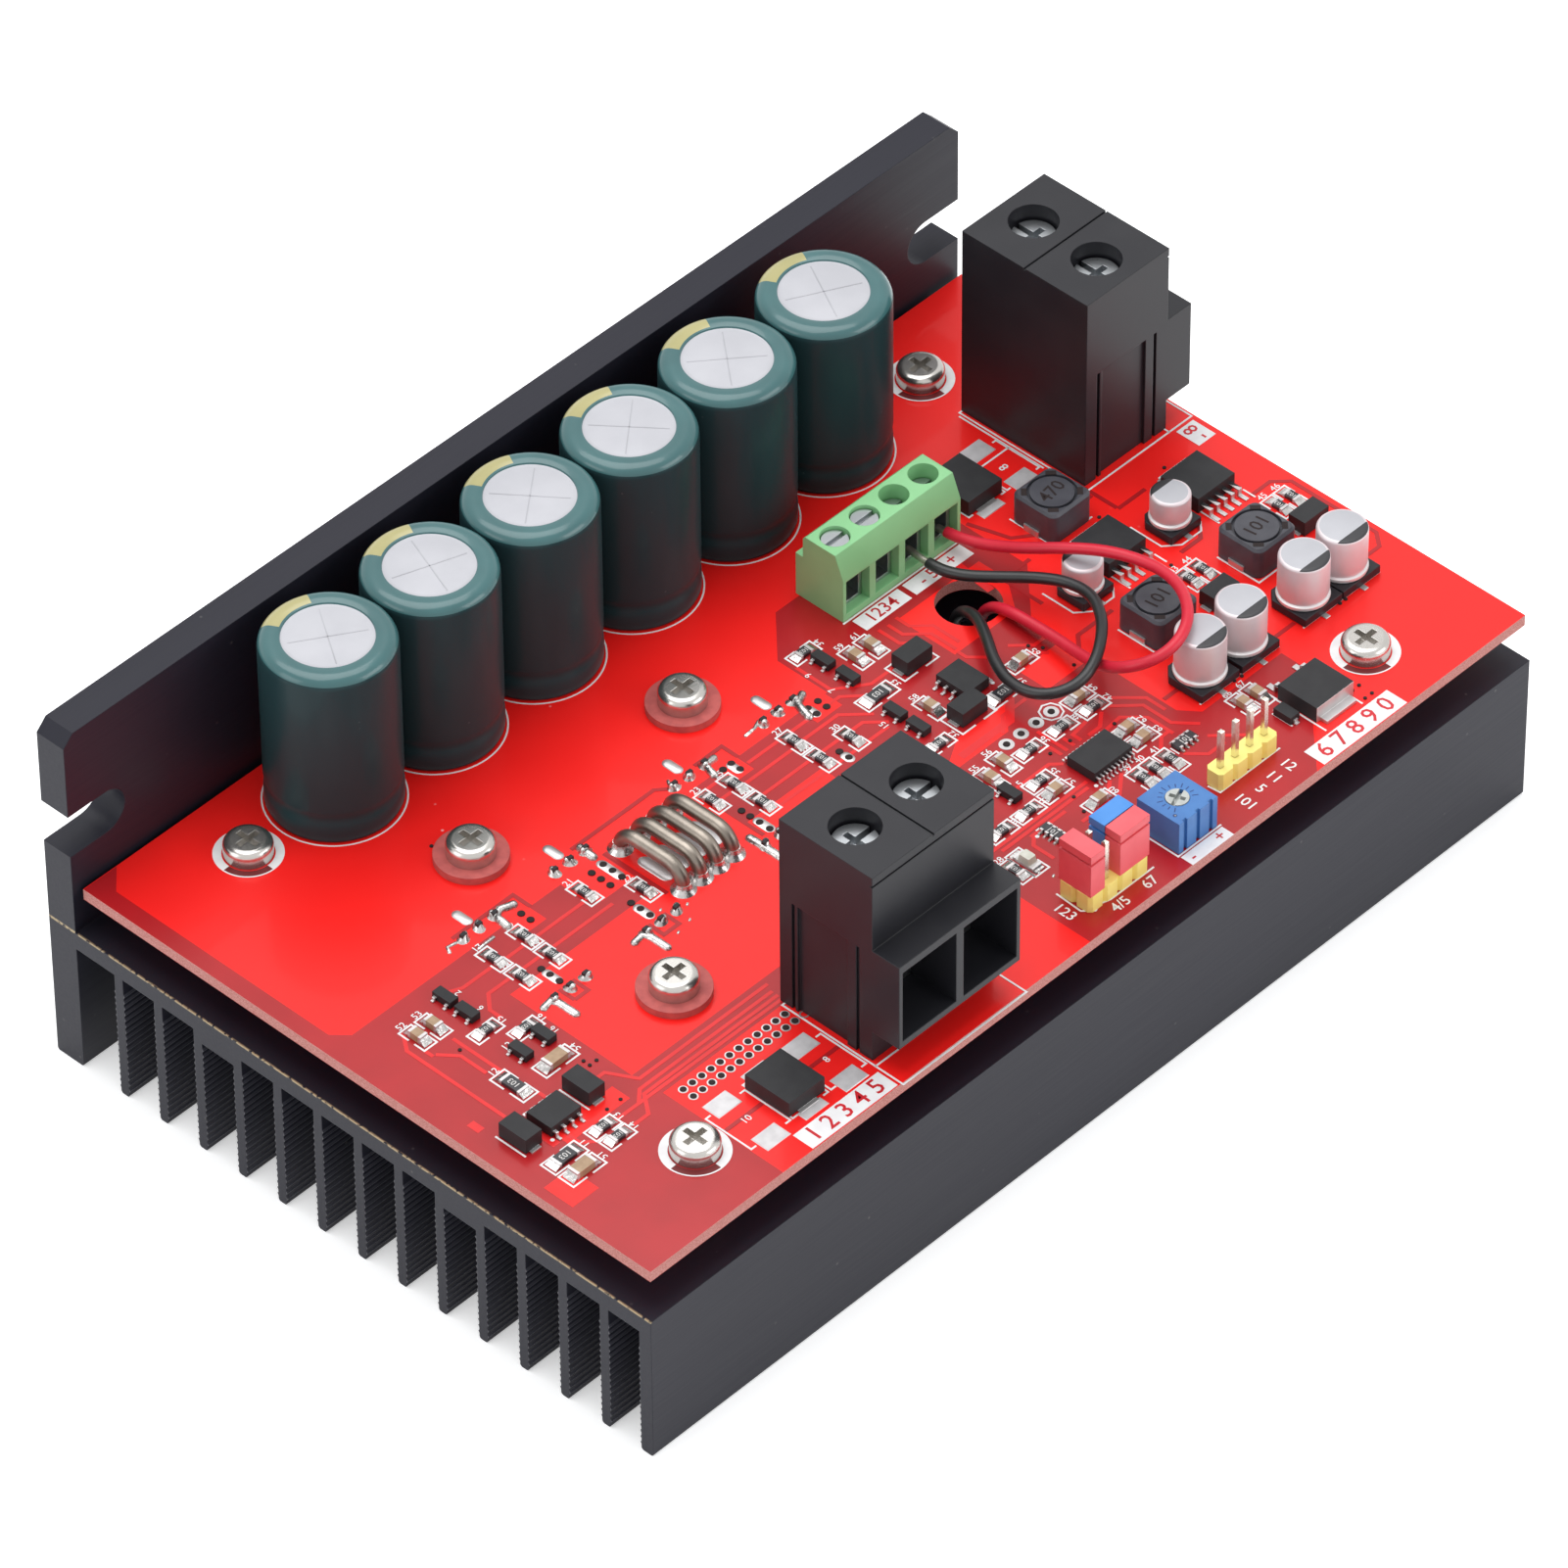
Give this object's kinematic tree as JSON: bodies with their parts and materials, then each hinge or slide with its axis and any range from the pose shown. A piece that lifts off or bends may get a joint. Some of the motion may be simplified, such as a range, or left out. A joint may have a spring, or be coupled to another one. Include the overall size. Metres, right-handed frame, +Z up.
{
  "type": "dc motor driver module",
  "caption": "Circuit board with screw terminals, capacitors and a trimmer on a finned heatsink with a tall mounting wall.",
  "frame": {"origin": "centre of the bounding box, on the plane of the fin tips", "axes": "+X along the extrusion, +Y from the board edge towards the tall wall, +Z up from the fin tips"},
  "size_m": [0.15, 0.0966, 0.0566],
  "materials": {
    "anodised_black": "black anodised extrusion, sawn ends",
    "board_red": "red solder resist over glass-epoxy laminate",
    "zinc_steel": "bright zinc plated",
    "fibre_brown": "red-brown vulcanised fibre",
    "spacer_metal": "nickel plated",
    "package_black": "moulded epoxy",
    "pad_grey": "grey insulating pad",
    "sleeve_green": "dark teal shrink sleeve, bare aluminium disc on top",
    "terminal_black": "moulded, satin",
    "terminal_green": "moulded, pale green",
    "tinned_metal": "tin plated",
    "shunt_alloy": "bare resistance wire",
    "ferrite": "coated ferrite",
    "can_aluminium": "bare aluminium can on a black base",
    "chip_dark": "dark glaze, tinned ends",
    "chip_tan": "tan ceramic, tinned ends",
    "led_clear": "clear resin",
    "trimmer_blue": "moulded, blue",
    "rotor_grey": "pale grey plastic",
    "header_yellow": "moulded, yellow",
    "jumper_red": "moulded, red",
    "jumper_blue": "moulded, blue",
    "fan_black": "moulded, black",
    "wire_black": "soft insulation",
    "wire_red": "soft insulation"
  },
  "bodies": {
    "module": {"heatsink": "anodised_black", "circuit_board": "board_red", "board_screws": "zinc_steel", "clamp_screws": "zinc_steel", "fibre_washers": "fibre_brown", "board_spacers": "spacer_metal", "upper_transistors": "package_black", "lower_transistors": "package_black", "insulating_strips": "pad_grey", "capacitor_1": "sleeve_green", "capacitor_2": "sleeve_green", "capacitor_3": "sleeve_green", "capacitor_4": "sleeve_green", "capacitor_5": "sleeve_green", "capacitor_6": "sleeve_green", "motor_terminal_housing": "terminal_black", "motor_terminal_screws": "zinc_steel", "motor_terminal_clamps": "tinned_metal", "battery_terminal_housing": "terminal_black", "battery_terminal_screws": "zinc_steel", "battery_terminal_clamps": "tinned_metal", "signal_terminal_housing": "terminal_green", "signal_terminal_screws": "zinc_steel", "signal_terminal_clamps": "tinned_metal", "current_shunt_1": "shunt_alloy", "current_shunt_2": "shunt_alloy", "current_shunt_3": "shunt_alloy", "current_shunt_4": "shunt_alloy", "inductor_1": "ferrite", "inductor_2": "ferrite", "inductor_3": "ferrite", "filter_capacitor_1": "can_aluminium", "filter_capacitor_2": "can_aluminium", "filter_capacitor_3": "can_aluminium", "filter_capacitor_4": "can_aluminium", "output_capacitor_1": "can_aluminium", "output_capacitor_2": "can_aluminium", "buck_regulators": "package_black", "linear_regulator": "package_black", "surge_diodes": "package_black", "rectifier_diodes": "package_black", "driver_chips": "package_black", "controller_chip": "package_black", "small_transistors": "package_black", "chip_resistors": "chip_dark", "chip_capacitors": "chip_tan", "resistor_networks": "chip_dark", "status_led": "led_clear", "trimmer_body": "trimmer_blue", "input_header": "header_yellow", "mode_header": "header_yellow", "header_pins": "tinned_metal", "red_jumpers": "jumper_red", "blue_jumper": "jumper_blue", "fan_frame": "fan_black", "fan_screws": "zinc_steel", "fan_wire_black": "wire_black", "fan_wire_red": "wire_red"},
    "trimmer_rotor": {"trimmer_rotor": "rotor_grey"},
    "fan_rotor": {"fan_rotor": "fan_black"}
  },
  "joints": [
    {"name": "trimmer_turn", "type": "hinge", "parent": "module", "child": "trimmer_rotor", "pos_m": [0.0198, -0.04175, 0.0329], "axis": [0, 0, 1], "range_deg": [-130, 130]},
    {"name": "fan_spin", "type": "hinge", "parent": "module", "child": "fan_rotor", "pos_m": [0.0073, -0.00165, 0.0124], "axis": [0, 0, 1], "continuous": true}
  ]
}
